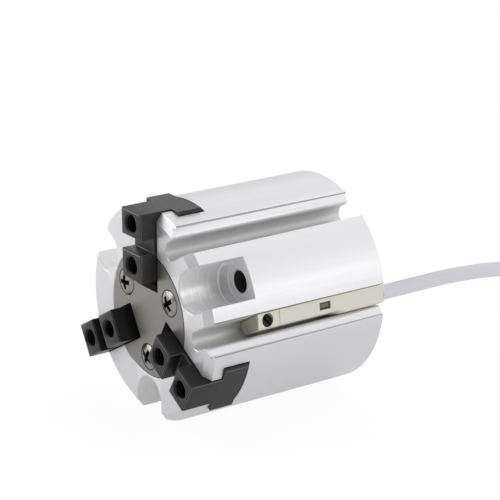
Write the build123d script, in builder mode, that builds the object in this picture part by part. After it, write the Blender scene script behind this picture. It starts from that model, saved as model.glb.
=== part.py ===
"""Pneumatic three jaw centric gripper with a magnetic piston switch and its lead.

Millimetres. The gripper's axis is Y: the jaws face -Y and the mounting face lies at y = 0.
+Z points up along the top jaw, and the gripper lies on its round side.
"Depth" is measured from the body's front face towards the mounting face.
"""
import math
import os

from build123d import *

os.makedirs("parts", exist_ok=True)

# Body
body_radius = 21.0
body_length = 40.7
front_chamfer_radial = 1.7
front_chamfer_axial = 1.25
back_chamfer = 0.3
front_edge_chamfer = 0.15
running_clearance = 0.06
seat_clearance = 0.05

# Bore and piston travel
cylinder_wall = 8.5
bore_radius = body_radius - cylinder_wall
jaw_stroke = 2.0
wedge_slope = 2 / 3
piston_stroke = jaw_stroke / wedge_slope

# Directions round the axis, in degrees from +X towards +Z
jaw_angles = {"jaw_top": 90.0, "jaw_right": -30.0, "jaw_left": 210.0}
pocket_angles = [30.0, 150.0, 270.0]
switch_sector_angle = 30.0
port_angle = 180.0

# Jaws
jaw_width = 6.6
jaw_height = 3.5
jaw_inner_radius = 7.5
notch_inner_radius = 13.1
notch_outer_radius = 15.9
notch_floor_height = 0.6
jaw_outer_radius = 21.1
flange_width = 11.1
flange_top_depth = 3.5
flange_bottom_depth = 8.6
jaw_foot_gap = 0.25
jaw_thread_radius = 1.65
jaw_thread_length = 5.5
jaw_thread_chamfer = 0.4
jaw_edge_chamfer = 0.25
guide_gap = 0.25
guide_floor_gap = 0.7
neck_gap = 0.1

# Wedge tongue on each jaw, and the cam that holds it
tongue_top_depth = 5.2
tongue_bottom_depth = 7.9
tongue_radius_at_top = 3.8
tongue_head_half_thickness = 0.65
tongue_head_width = 3.6
tongue_neck_width = 2.2
cam_radius = 6.8
cam_plate_gap = 0.35
cam_floor_thickness = 1.7
cam_edge_chamfer = 0.25
cam_slot_overrun = 1.0
flange_cam_gap = 0.2
rod_radius = 3.0
cam_chamber_gap = 0.4

# Front plate
plate_radius = 12.3
plate_gap = 0.2
plate_thickness = 2.0
plate_slot_gap = 0.25
plate_slot_inner_radius = 5.2
plate_screw_circle = 8.7
plate_screw_head_radius = 2.45
plate_screw_head_depth = 1.15
plate_screw_dome = 0.6
plate_screw_turn = 25.0
plate_screw_radius = 1.2
plate_screw_length = 6.0
plate_screw_cross_width = 0.75
plate_screw_cross_span = 2.9
plate_screw_cross_depth = 1.2

# Mounting pockets and screw holes
pocket_width = 8.2
pocket_depth = 10.9
mount_circle_inset = 4.0
mount_hole_radius = 2.15
counterbore_radius = 3.75
counterbore_start_depth = 8.6

# Rear interface
pilot_step = 1.5
pilot_depth = 1.5
dowel_hole_radius = 1.5
dowel_hole_depth = 3.0
dowel_angle = 90.0

# Rod seal and cylinder
partition_thickness = 3.8
rod_seal_radius = 4.55
rod_seal_width = 1.8
bumper_thickness = 1.0
bumper_radial_width = 3.0
bumper_rim_gap = 1.0
piston_gap = 0.1
piston_end_gap = 0.2

# Piston: the shares are of its whole length
magnet_share = 0.27
magnet_radial_width = 4.0
magnet_rim_inset = 0.44
retainer_share = 0.18
spigot_radius = 2.0
spigot_end_gap = 0.4
piston_seal_share = 0.18
piston_seal_height = 2.1
piston_bolt_radius = 1.2
piston_bolt_length = 7.0
piston_bolt_head_radius = 2.75
piston_bolt_head_height = 2.0
piston_bolt_head_chamfer = 0.25
piston_bolt_socket = 2.5
piston_edge_chamfer = 0.4

# Rear cap
cap_thickness = 4.5
cap_recess_gap = 0.65
cap_recess_depth = 1.4
cap_edge_chamfer = 0.4
cap_seal_width = 1.8
cap_seal_height = 1.3
retaining_ring_thickness = 1.0
retaining_ring_land = 0.4
retaining_ring_radial_width = 1.9
retaining_ring_groove_depth = 0.55
retaining_ring_gap_angle = 50.0
retaining_ring_ear_inset = 1.6
retaining_ring_ear_radius = 1.3
retaining_ring_ear_hole = 0.6
retaining_ring_ear_turn = 6.0

# Air ports
port_thread_radius = 2.1
port_thread_length = 5.0
port_passage_radius = 0.7
port_spotface_radius = 4.0
port_spotface_depth = 0.4
front_port_offset = 1.4
rear_port_offset = 1.6

# Switch grooves: u runs out along the sector's middle, v across it
groove_width = 3.48
groove_centre_v = 8.61
groove_inset = 6.9
ledge_inset = 4.75
ledge_outer_v = 12.3
ledge_lip_chamfer = 0.4
ledge_rim_chamfer = 0.3

# Switch
switch_front_depth = 10.9
switch_joint_depth = 16.0
switch_joint_gap = 0.12
switch_width = 2.7
switch_rear_width = 3.25
switch_rear_depth = 31.2
switch_rear_taper = 1.6
switch_side_gap = 0.1
switch_top_sink = 0.35
switch_edge_chamfer = 0.15
switch_screw_depth = 13.2
switch_screw_radius = 1.2
switch_screw_slot = 0.4
switch_screw_sink = 0.5
switch_screw_turn = 35.0
window_depth = 26.55
window_length = 2.5
window_width = 1.4
window_thickness = 0.2
window_sink = 0.3

# Lead
cable_radius = 1.5
cable_exit_inset = 3.6
cable_exit_gap = 0.01
cable_exit_run = 8.0
floor_z = -body_radius
coil_x = 2.6
coil_y = 87.0
coil_radius = 17.5
coil_width = 6.2
coil_height = 6.2
coil_lane_clearance = 0.1
coil_stub = 12.5
stub_run = 7.5
tie_angle = 60.0
tie_width = 4.0
tie_thickness = 0.6
tie_clearance = 0.1
tail_start_angle = 130.0
tail_step_angle = 20.0
tail_steps = 7
tail_drop_steps = 4
tail_gap = 0.5
core_radius = 0.55
core_length = 6.0
core_strand_radius = 0.3
core_strand_length = 3.5
core_spread = 0.7


def cross_plane(depth, angle=0.0):
    """Plane across the axis at a depth, its x along the given direction, its z to the front."""
    turn = math.radians(angle)
    return Plane(
        origin=(0, depth - body_length, 0),
        x_dir=(math.cos(turn), 0, math.sin(turn)),
        z_dir=(0, -1, 0),
    )


def side_plane(angle):
    """Plane through the axis: x is the radius in the given direction, y is the depth."""
    turn = math.radians(angle)
    return Plane(
        origin=(0, -body_length, 0),
        x_dir=(math.cos(turn), 0, math.sin(turn)),
        z_dir=(-math.sin(turn), 0, math.cos(turn)),
    )


def outward_plane(radius, depth, angle, across=0.0):
    """Plane that faces outwards at a radius and a depth, with its y along the axis."""
    turn = math.radians(angle)
    out = Vector(math.cos(turn), 0, math.sin(turn))
    side = Vector(-math.sin(turn), 0, math.cos(turn))
    origin = out * radius + side * across + Vector(0, depth - body_length, 0)
    return Plane(origin=origin, x_dir=-side, z_dir=out)


def tongue_radius(depth):
    """Middle of the inclined wedge at a depth, with the gripper open."""
    return tongue_radius_at_top + wedge_slope * (depth - tongue_top_depth)


def finish(node, name):
    """Name a finished piece and write it."""
    node.part.label = name
    export_step(node.part, f"parts/{name}.step")


# Front end: plate, jaw guides and cam, with what fits them
plate_recess_radius = plate_radius + plate_gap
plate_slot_width = jaw_width + 2 * plate_slot_gap
neck_slot_width = jaw_width + 2 * neck_gap
guide_half_width = flange_width / 2 + guide_gap
guide_floor_depth = flange_bottom_depth + guide_floor_gap
flange_inner_radius = cam_radius + jaw_stroke + flange_cam_gap
cam_front_depth = plate_thickness + cam_plate_gap
jaw_foot_depth = cam_front_depth - jaw_foot_gap
cam_slot_bottom_depth = tongue_bottom_depth + 2 * running_clearance
cam_back_depth = cam_slot_bottom_depth + cam_floor_thickness
cam_chamber_depth = cam_back_depth + piston_stroke + cam_chamber_gap
rod_seal_depth = cam_chamber_depth + (partition_thickness - rod_seal_width) / 2

# Mounting screws' circle, and the steps of the mounting face
mount_circle_radius = body_radius - mount_circle_inset
pilot_radius = bore_radius + pilot_step

# Rear end: cap and ring, placed from the mounting face
cylinder_front_depth = cam_chamber_depth + partition_thickness
ring_front_depth = body_length - pilot_depth - retaining_ring_land - retaining_ring_thickness
ring_groove_radius = bore_radius + retaining_ring_groove_depth
ring_groove_back_depth = ring_front_depth + retaining_ring_thickness + seat_clearance
cap_radius = bore_radius - seat_clearance
cap_front_depth = ring_front_depth - cap_thickness
cap_seal_depth = cap_front_depth + (cap_thickness - cap_seal_width) / 2
cap_seal_inner_radius = bore_radius - cap_seal_height
cap_recess_radius = piston_bolt_head_radius + cap_recess_gap
rear_bumper_depth = cap_front_depth - bumper_thickness
bumper_outer_radius = bore_radius - bumper_rim_gap
bumper_inner_radius = bumper_outer_radius - bumper_radial_width
front_port_depth = cylinder_front_depth + front_port_offset
rear_port_depth = cap_front_depth - rear_port_offset

# Piston: fills the cylinder but for its stroke
piston_radius = bore_radius - running_clearance
piston_front_depth = cylinder_front_depth + bumper_thickness + piston_gap
piston_back_depth = rear_bumper_depth - piston_end_gap - piston_stroke
piston_length = piston_back_depth - piston_front_depth
retainer_length = retainer_share * piston_length
magnet_length = magnet_share * piston_length
piston_seal_width = piston_seal_share * piston_length
retainer_front_depth = piston_back_depth - retainer_length
magnet_front_depth = retainer_front_depth - magnet_length
magnet_outer_radius = piston_radius - magnet_rim_inset
magnet_inner_radius = magnet_outer_radius - magnet_radial_width
spigot_end_depth = retainer_front_depth - spigot_end_gap
piston_seal_depth = (piston_front_depth + magnet_front_depth - piston_seal_width) / 2
piston_seal_inner_radius = bore_radius - piston_seal_height

# Switch in the lower groove, seated against the groove's wall on the side of the pocket
groove_floor_centre_u = body_radius - groove_inset
ledge_u = body_radius - ledge_inset
cable_exit_u = body_radius - cable_exit_inset
switch_centre_v = groove_centre_v - (groove_width - switch_width) / 2 + switch_side_gap
switch_near_v = switch_centre_v - switch_width / 2
switch_top_radius = body_radius - switch_top_sink
beyond = 3.0

# Body: a turned blank with its stepped bore
body_front = Vector(0, -body_length, 0)
with BuildPart() as body:
    with BuildSketch(side_plane(0)):
        with BuildLine():
            Polyline(
                (plate_recess_radius, 0),
                (body_radius - front_chamfer_radial, 0),
                (body_radius, front_chamfer_axial),
                (body_radius, body_length - back_chamfer),
                (body_radius - back_chamfer, body_length),
                (pilot_radius, body_length),
                (pilot_radius, body_length - pilot_depth),
                (bore_radius, body_length - pilot_depth),
                (bore_radius, ring_groove_back_depth),
                (ring_groove_radius, ring_groove_back_depth),
                (ring_groove_radius, ring_front_depth),
                (bore_radius, ring_front_depth),
                (bore_radius, cylinder_front_depth),
                (rod_radius + running_clearance, cylinder_front_depth),
                (rod_radius + running_clearance, rod_seal_depth + rod_seal_width + seat_clearance),
                (rod_seal_radius + seat_clearance, rod_seal_depth + rod_seal_width + seat_clearance),
                (rod_seal_radius + seat_clearance, rod_seal_depth - seat_clearance),
                (rod_radius + running_clearance, rod_seal_depth - seat_clearance),
                (rod_radius + running_clearance, cam_chamber_depth),
                (cam_radius + running_clearance, cam_chamber_depth),
                (cam_radius + running_clearance, plate_thickness),
                (plate_recess_radius, plate_thickness),
                close=True,
            )
        make_face()
    revolve(axis=Axis.Y)

    # T-shaped guides, open at the rim, that carry the jaws
    for angle in jaw_angles.values():
        reach = body_radius + beyond
        with BuildSketch(cross_plane(0, angle)):
            with Locations((reach / 2, 0)):
                Rectangle(reach, neck_slot_width)
        extrude(amount=-(flange_top_depth + seat_clearance), mode=Mode.SUBTRACT)
        with BuildSketch(cross_plane(flange_top_depth - seat_clearance, angle)):
            with Locations((reach / 2, 0)):
                Rectangle(reach, 2 * guide_half_width)
        extrude(amount=-(guide_floor_depth - flange_top_depth + seat_clearance), mode=Mode.SUBTRACT)

    # Pockets for the mounting screws, each with a counterbore and a through hole
    for angle in pocket_angles:
        reach = body_radius + beyond - mount_circle_radius
        with BuildSketch(cross_plane(0, angle)):
            with Locations((mount_circle_radius, 0)):
                Circle(pocket_width / 2)
            with Locations((mount_circle_radius + reach / 2, 0)):
                Rectangle(reach, pocket_width)
        extrude(amount=-counterbore_start_depth, mode=Mode.SUBTRACT)
        with BuildSketch(cross_plane(0, angle)):
            with Locations((mount_circle_radius, 0)):
                Circle(counterbore_radius)
            with Locations((mount_circle_radius + reach / 2, 0)):
                Rectangle(reach, pocket_width)
        extrude(amount=-pocket_depth, mode=Mode.SUBTRACT)
        with BuildSketch(cross_plane(0, angle)):
            with Locations((mount_circle_radius, 0)):
                Circle(mount_hole_radius)
        extrude(amount=-body_length, mode=Mode.SUBTRACT)

    # Two switch grooves with a recessed ledge on the side of the jaw
    with BuildSketch(cross_plane(0, switch_sector_angle)):
        with BuildLine():
            land_v = groove_centre_v - groove_width / 2
            wall_v = groove_centre_v + groove_width / 2
            rim_u = math.sqrt(body_radius ** 2 - ledge_outer_v ** 2)
            floor = ThreePointArc(
                (groove_floor_centre_u, land_v),
                (groove_floor_centre_u - groove_width / 2, groove_centre_v),
                (groove_floor_centre_u, wall_v),
            )
            Polyline(
                floor @ 1,
                (ledge_u - ledge_lip_chamfer, wall_v),
                (ledge_u, wall_v + ledge_lip_chamfer),
                (ledge_u, ledge_outer_v),
                (rim_u - ledge_rim_chamfer, ledge_outer_v),
                (rim_u + beyond, ledge_outer_v + ledge_rim_chamfer + beyond),
                (rim_u + 2 * beyond, land_v),
                floor @ 0,
            )
        make_face()
        mirror(about=Plane.XZ)
    extrude(amount=-body_length, mode=Mode.SUBTRACT)

    # Tapped holes for the front plate's screws
    for angle in pocket_angles:
        with BuildSketch(cross_plane(plate_thickness, angle)):
            with Locations((plate_screw_circle, 0)):
                Circle(plate_screw_radius + seat_clearance)
        extrude(amount=-(plate_screw_length - plate_thickness + 2 * seat_clearance), mode=Mode.SUBTRACT)

    # Air ports: spot face, tapped hole and a narrow passage into the cylinder
    for depth in (front_port_depth, rear_port_depth):
        with BuildSketch(outward_plane(body_radius + beyond, depth, port_angle)):
            Circle(port_spotface_radius)
        extrude(amount=-(beyond + port_spotface_depth), mode=Mode.SUBTRACT)
        with BuildSketch(outward_plane(body_radius, depth, port_angle)):
            Circle(port_thread_radius)
        extrude(amount=-(port_spotface_depth + port_thread_length), mode=Mode.SUBTRACT)
        with BuildSketch(outward_plane(body_radius, depth, port_angle)):
            Circle(port_passage_radius)
        extrude(amount=-(body_radius - bore_radius + port_passage_radius), mode=Mode.SUBTRACT)

    # Broken edges round the openings of the front face
    front_edges = body.edges().filter_by_position(Axis.Y, -body_length, -body_length)
    rim_radius = body_radius - front_chamfer_radial
    inner_reach = rim_radius - seat_clearance
    open_edges = front_edges.filter_by(lambda e: (e.center() - body_front).length < inner_reach)
    chamfer(open_edges, front_edge_chamfer)

    # Dowel hole in the mounting face
    with BuildSketch(cross_plane(body_length, dowel_angle)):
        with Locations((mount_circle_radius, 0)):
            Circle(dowel_hole_radius)
    extrude(amount=dowel_hole_depth, mode=Mode.SUBTRACT)
finish(body, "body")

# Front plate: a disc let into the front face, slotted for the jaws
with BuildPart() as front_plate:
    with BuildSketch(cross_plane(0)):
        Circle(plate_radius)
    extrude(amount=-plate_thickness)
    for angle in jaw_angles.values():
        with BuildSketch(cross_plane(0, angle)):
            with Locations(((plate_slot_inner_radius + plate_radius + beyond) / 2, 0)):
                Rectangle(plate_radius + beyond - plate_slot_inner_radius, plate_slot_width)
        extrude(amount=-plate_thickness, mode=Mode.SUBTRACT)
    for angle in pocket_angles:
        turn = math.radians(angle)
        x = plate_screw_circle * math.cos(turn)
        z = plate_screw_circle * math.sin(turn)
        with BuildSketch(cross_plane(0)):
            with Locations((x, z)):
                Circle(plate_screw_head_radius + seat_clearance)
        with BuildSketch(cross_plane(plate_screw_head_depth + seat_clearance)):
            with Locations((x, z)):
                Circle(plate_screw_radius + seat_clearance)
        loft(mode=Mode.SUBTRACT)
        with BuildSketch(cross_plane(0)):
            with Locations((x, z)):
                Circle(plate_screw_radius + seat_clearance)
        extrude(amount=-plate_thickness, mode=Mode.SUBTRACT)
finish(front_plate, "front_plate")

# One raised countersunk screw, turned about its own axis, with a cross recess
with BuildPart(mode=Mode.PRIVATE) as plate_screw:
    with BuildSketch(side_plane(0)):
        with BuildLine():
            dome = ThreePointArc(
                (0, -plate_screw_dome),
                (plate_screw_head_radius / 2, -plate_screw_dome * 3 / 4),
                (plate_screw_head_radius, 0),
            )
            Polyline(
                dome @ 1,
                (plate_screw_radius, plate_screw_head_depth),
                (plate_screw_radius, plate_screw_length),
                (0, plate_screw_length),
                dome @ 0,
            )
        make_face()
    revolve(axis=Axis.Y)
    with BuildSketch(cross_plane(-2 * plate_screw_dome)):
        Rectangle(plate_screw_cross_span, plate_screw_cross_width)
        Rectangle(plate_screw_cross_width, plate_screw_cross_span)
    extrude(amount=-(plate_screw_dome + plate_screw_cross_depth), mode=Mode.SUBTRACT)

# Three such screws between the jaws, as one group
screw_places = []
for angle in pocket_angles:
    turn = math.radians(angle)
    x = plate_screw_circle * math.cos(turn)
    z = plate_screw_circle * math.sin(turn)
    screw_places.append(Location((x, 0, z), (0, plate_screw_turn + angle, 0)))
with BuildPart() as front_plate_screws:
    with Locations(*screw_places):
        add(plate_screw.part)
finish(front_plate_screws, "front_plate_screws")

# Jaws: two tapped blocks, a neck, a wide flange in the guide and a wedge tongue on the cam
for name, angle in jaw_angles.items():
    with BuildPart() as jaw:
        with BuildSketch(side_plane(angle)):
            with BuildLine():
                Polyline(
                    (jaw_inner_radius, -jaw_height),
                    (notch_inner_radius, -jaw_height),
                    (notch_inner_radius, -notch_floor_height),
                    (notch_outer_radius, -notch_floor_height),
                    (notch_outer_radius, -jaw_height),
                    (jaw_outer_radius, -jaw_height),
                    (jaw_outer_radius, flange_top_depth),
                    (flange_inner_radius, flange_top_depth),
                    (flange_inner_radius, jaw_foot_depth),
                    (jaw_inner_radius, jaw_foot_depth),
                    close=True,
                )
            make_face()
        extrude(amount=jaw_width / 2, both=True)
        top_edges = jaw.edges().filter_by(lambda e: e.center().Y < jaw_height * -0.9 - body_length)
        chamfer(top_edges, jaw_edge_chamfer)
        with BuildSketch(side_plane(angle)):
            with BuildLine():
                Polyline(
                    (flange_inner_radius, flange_top_depth),
                    (jaw_outer_radius, flange_top_depth),
                    (jaw_outer_radius, flange_bottom_depth),
                    (flange_inner_radius, flange_bottom_depth),
                    close=True,
                )
            make_face()
        extrude(amount=flange_width / 2, both=True)
        with BuildSketch(side_plane(angle)):
            with BuildLine():
                Polyline(
                    (tongue_radius(tongue_top_depth), tongue_top_depth),
                    (flange_inner_radius + seat_clearance, tongue_top_depth),
                    (flange_inner_radius + seat_clearance, tongue_bottom_depth),
                    (tongue_radius(tongue_bottom_depth), tongue_bottom_depth),
                    close=True,
                )
            make_face()
        extrude(amount=tongue_neck_width / 2, both=True)
        with BuildSketch(side_plane(angle)):
            with BuildLine():
                Polyline(
                    (tongue_radius(tongue_top_depth) - tongue_head_half_thickness, tongue_top_depth),
                    (tongue_radius(tongue_top_depth) + tongue_head_half_thickness, tongue_top_depth),
                    (tongue_radius(tongue_bottom_depth) + tongue_head_half_thickness, tongue_bottom_depth),
                    (tongue_radius(tongue_bottom_depth) - tongue_head_half_thickness, tongue_bottom_depth),
                    close=True,
                )
            make_face()
        extrude(amount=tongue_head_width / 2, both=True)
        for hole_radius in (
            (jaw_inner_radius + notch_inner_radius) / 2,
            (notch_outer_radius + jaw_outer_radius) / 2,
        ):
            with BuildSketch(cross_plane(-jaw_height, angle)):
                with Locations((hole_radius, 0)):
                    Circle(jaw_thread_radius)
            extrude(amount=-jaw_thread_length, mode=Mode.SUBTRACT)
            with BuildSketch(cross_plane(-jaw_height, angle)):
                with Locations((hole_radius, 0)):
                    Circle(jaw_thread_radius + jaw_thread_chamfer)
            with BuildSketch(cross_plane(jaw_thread_chamfer - jaw_height, angle)):
                with Locations((hole_radius, 0)):
                    Circle(jaw_thread_radius)
            loft(mode=Mode.SUBTRACT)
    finish(jaw, name)

# Wedge cam: a guided drum with three inclined T-slots, and the piston rod in one piece with it
with BuildPart() as wedge_cam:
    with BuildSketch(cross_plane(cam_front_depth)):
        Circle(cam_radius)
    extrude(amount=-(cam_back_depth - cam_front_depth))
    chamfer(wedge_cam.edges().filter_by(GeomType.CIRCLE), cam_edge_chamfer)
    slot_top = cam_front_depth - cam_slot_overrun
    head_half = tongue_head_half_thickness + running_clearance
    for angle in jaw_angles.values():
        with BuildSketch(side_plane(angle)):
            with BuildLine():
                Polyline(
                    (tongue_radius(slot_top) - head_half, slot_top),
                    (tongue_radius(slot_top) + head_half, slot_top),
                    (tongue_radius(cam_slot_bottom_depth) + head_half, cam_slot_bottom_depth),
                    (tongue_radius(cam_slot_bottom_depth) - head_half, cam_slot_bottom_depth),
                    close=True,
                )
            make_face()
        extrude(amount=tongue_head_width / 2 + running_clearance, both=True, mode=Mode.SUBTRACT)
        with BuildSketch(side_plane(angle)):
            with BuildLine():
                Polyline(
                    (tongue_radius(slot_top), slot_top),
                    (cam_radius + beyond, slot_top),
                    (cam_radius + beyond, cam_slot_bottom_depth),
                    (tongue_radius(cam_slot_bottom_depth), cam_slot_bottom_depth),
                    close=True,
                )
            make_face()
        extrude(amount=tongue_neck_width / 2 + running_clearance, both=True, mode=Mode.SUBTRACT)
    with BuildSketch(cross_plane(cam_back_depth)):
        Circle(rod_radius)
    extrude(amount=-(piston_front_depth - cam_back_depth))
    with BuildSketch(cross_plane(piston_front_depth)):
        Circle(spigot_radius)
    extrude(amount=-(spigot_end_depth - piston_front_depth))
    with BuildSketch(cross_plane(spigot_end_depth)):
        Circle(piston_bolt_radius + seat_clearance)
    extrude(amount=piston_bolt_length, mode=Mode.SUBTRACT)
finish(wedge_cam, "wedge_cam")

# Piston: front half with the seal groove and the hub that centres the magnet
groove_front_depth = piston_seal_depth - seat_clearance
groove_back_depth = piston_seal_depth + piston_seal_width + seat_clearance
groove_bottom_radius = piston_seal_inner_radius - seat_clearance
with BuildPart() as piston:
    with BuildSketch(side_plane(0)):
        with BuildLine():
            Polyline(
                (spigot_radius + seat_clearance, piston_front_depth),
                (piston_radius - piston_edge_chamfer, piston_front_depth),
                (piston_radius, piston_front_depth + piston_edge_chamfer),
                (piston_radius, groove_front_depth),
                (groove_bottom_radius, groove_front_depth),
                (groove_bottom_radius, groove_back_depth),
                (piston_radius, groove_back_depth),
                (piston_radius, magnet_front_depth),
                (magnet_inner_radius, magnet_front_depth),
                (magnet_inner_radius, retainer_front_depth),
                (spigot_radius + seat_clearance, retainer_front_depth),
                close=True,
            )
        make_face()
    revolve(axis=Axis.Y)
finish(piston, "piston")

# Magnet ring that the switch senses
with BuildPart() as piston_magnet:
    with BuildSketch(cross_plane(magnet_front_depth + seat_clearance)):
        Circle(magnet_outer_radius)
        Circle(magnet_inner_radius + seat_clearance, mode=Mode.SUBTRACT)
    extrude(amount=-(magnet_length - 2 * seat_clearance))
finish(piston_magnet, "piston_magnet")

# Retainer behind the magnet, held by the piston bolt
with BuildPart() as piston_retainer:
    with BuildSketch(cross_plane(retainer_front_depth)):
        Circle(piston_radius)
        Circle(piston_bolt_radius + seat_clearance, mode=Mode.SUBTRACT)
    extrude(amount=-retainer_length)
    rims = piston_retainer.edges().filter_by(GeomType.CIRCLE).sort_by(SortBy.RADIUS)[-2:]
    chamfer(rims, min(piston_edge_chamfer, retainer_length / 3))
finish(piston_retainer, "piston_retainer")

# Piston seal
with BuildPart() as piston_seal:
    with BuildSketch(cross_plane(piston_seal_depth)):
        Circle(bore_radius - running_clearance / 2)
        Circle(piston_seal_inner_radius, mode=Mode.SUBTRACT)
    extrude(amount=-piston_seal_width)
    fillet(piston_seal.edges().filter_by(GeomType.CIRCLE).sort_by(SortBy.RADIUS)[-2:], piston_seal_width / 4)
finish(piston_seal, "piston_seal")

# Low cap screw that ties the piston to the rod
with BuildPart() as piston_bolt:
    with BuildSketch(cross_plane(piston_back_depth)):
        Circle(piston_bolt_head_radius)
    extrude(amount=-piston_bolt_head_height)
    chamfer(piston_bolt.edges().sort_by(Axis.Y)[-1], piston_bolt_head_chamfer)
    with BuildSketch(cross_plane(piston_back_depth)):
        Circle(piston_bolt_radius)
    extrude(amount=piston_back_depth - spigot_end_depth + piston_bolt_length - 4 * seat_clearance)
    with BuildSketch(cross_plane(piston_back_depth + piston_bolt_head_height)):
        RegularPolygon(piston_bolt_socket / 2, 6, major_radius=False)
    extrude(amount=piston_bolt_head_height * 0.6, mode=Mode.SUBTRACT)
finish(piston_bolt, "piston_bolt")

# Rod seal in its gland
with BuildPart() as rod_seal:
    with BuildSketch(cross_plane(rod_seal_depth)):
        Circle(rod_seal_radius)
        Circle(rod_radius + running_clearance / 2, mode=Mode.SUBTRACT)
    extrude(amount=-rod_seal_width)
    fillet(rod_seal.edges().filter_by(GeomType.CIRCLE).sort_by(SortBy.RADIUS)[-2:], rod_seal_width / 4)
finish(rod_seal, "rod_seal")

# Stroke bumpers on the cylinder's front wall and on the rear cap
for name, depth in (("front_bumper", cylinder_front_depth), ("rear_bumper", rear_bumper_depth)):
    with BuildPart() as bumper:
        with BuildSketch(cross_plane(depth)):
            Circle(bumper_outer_radius)
            Circle(bumper_inner_radius, mode=Mode.SUBTRACT)
        extrude(amount=-bumper_thickness)
    finish(bumper, name)

# Rear cap with its seal groove and a recess for the bolt head
groove_front_depth = cap_seal_depth - seat_clearance
groove_back_depth = cap_seal_depth + cap_seal_width + seat_clearance
groove_bottom_radius = cap_seal_inner_radius - seat_clearance
with BuildPart() as rear_cap:
    with BuildSketch(side_plane(0)):
        with BuildLine():
            Polyline(
                (0, cap_front_depth + cap_recess_depth),
                (cap_recess_radius, cap_front_depth + cap_recess_depth),
                (cap_recess_radius, cap_front_depth),
                (cap_radius - cap_edge_chamfer, cap_front_depth),
                (cap_radius, cap_front_depth + cap_edge_chamfer),
                (cap_radius, groove_front_depth),
                (groove_bottom_radius, groove_front_depth),
                (groove_bottom_radius, groove_back_depth),
                (cap_radius, groove_back_depth),
                (cap_radius, ring_front_depth),
                (0, ring_front_depth),
                close=True,
            )
        make_face()
    revolve(axis=Axis.Y)
finish(rear_cap, "rear_cap")

with BuildPart() as cap_seal:
    with BuildSketch(cross_plane(cap_seal_depth)):
        Circle(bore_radius - seat_clearance / 2)
        Circle(cap_seal_inner_radius, mode=Mode.SUBTRACT)
    extrude(amount=-cap_seal_width)
    fillet(cap_seal.edges().filter_by(GeomType.CIRCLE).sort_by(SortBy.RADIUS)[-2:], cap_seal_width / 4)
finish(cap_seal, "cap_seal")

# Internal retaining ring with two pierced ears
ring_outer_radius = ring_groove_radius - seat_clearance
ring_inner_radius = ring_outer_radius - retaining_ring_radial_width
with BuildPart() as retaining_ring:
    with BuildSketch(cross_plane(ring_front_depth, 270)):
        Circle(ring_outer_radius)
        Circle(ring_inner_radius, mode=Mode.SUBTRACT)
        with BuildLine():
            half_gap = retaining_ring_gap_angle / 2
            gap_reach = 2 * ring_outer_radius
            Polyline(
                (0, 0),
                (gap_reach, gap_reach * math.tan(math.radians(half_gap))),
                (gap_reach, -gap_reach * math.tan(math.radians(half_gap))),
                close=True,
            )
        make_face(mode=Mode.SUBTRACT)
        ear_angle = half_gap + retaining_ring_ear_turn
        ear_circle = bore_radius - retaining_ring_ear_inset
        ears = PolarLocations(ear_circle, 2, -ear_angle, 2 * ear_angle, endpoint=True)
        with ears:
            Circle(retaining_ring_ear_radius)
        with ears:
            Circle(retaining_ring_ear_hole, mode=Mode.SUBTRACT)
    extrude(amount=-retaining_ring_thickness)
finish(retaining_ring, "retaining_ring")


def switch_section(width):
    """Section of the switch in its groove: a round foot and a top that follows the body's rim."""
    switch_middle_v = switch_near_v + width / 2
    switch_far_v = switch_near_v + width
    with BuildSketch() as section:
        with BuildLine():
            foot = ThreePointArc(
                (groove_floor_centre_u, -switch_near_v),
                (groove_floor_centre_u - width / 2, -switch_middle_v),
                (groove_floor_centre_u, -switch_far_v),
            )
            top = ThreePointArc(
                (math.sqrt(switch_top_radius ** 2 - switch_far_v ** 2), -switch_far_v),
                (math.sqrt(switch_top_radius ** 2 - switch_middle_v ** 2), -switch_middle_v),
                (math.sqrt(switch_top_radius ** 2 - switch_near_v ** 2), -switch_near_v),
            )
            Line(foot @ 1, top @ 0)
            Line(top @ 1, foot @ 0)
        make_face()
    return section.sketch


# Switch: clamp at its front end, with a hole for its set screw
with BuildPart() as switch_clamp:
    with BuildSketch(cross_plane(switch_front_depth, switch_sector_angle)):
        add(switch_section(switch_width))
    extrude(amount=-(switch_joint_depth - switch_joint_gap - switch_front_depth))
    chamfer(switch_clamp.edges().group_by(Axis.Y)[0], switch_edge_chamfer)
    with BuildSketch(outward_plane(body_radius, switch_screw_depth, switch_sector_angle, -switch_centre_v)):
        Circle(switch_screw_radius + seat_clearance)
    extrude(amount=-body_radius / 2, mode=Mode.SUBTRACT)
finish(switch_clamp, "switch_clamp")

# Set screw that jams the clamp in the groove, its foot just clear of the groove's round floor
foot_reach = switch_screw_radius + abs(groove_centre_v - switch_centre_v)
floor_rise = (groove_width / 2) - math.sqrt((groove_width / 2) ** 2 - foot_reach ** 2)
screw_foot_u = groove_floor_centre_u - groove_width / 2 + floor_rise + 2 * seat_clearance
screw_top_u = math.sqrt(switch_top_radius ** 2 - switch_centre_v ** 2) - switch_screw_sink
with BuildPart() as switch_screw:
    with BuildSketch(outward_plane(screw_foot_u, switch_screw_depth, switch_sector_angle, -switch_centre_v)):
        Circle(switch_screw_radius)
    extrude(amount=screw_top_u - screw_foot_u)
    with BuildSketch(outward_plane(screw_top_u, switch_screw_depth, switch_sector_angle, -switch_centre_v)):
        Rectangle(4 * switch_screw_radius, switch_screw_slot, rotation=switch_screw_turn)
    extrude(amount=-2 * switch_screw_slot, mode=Mode.SUBTRACT)
finish(switch_screw, "switch_screw")

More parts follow.
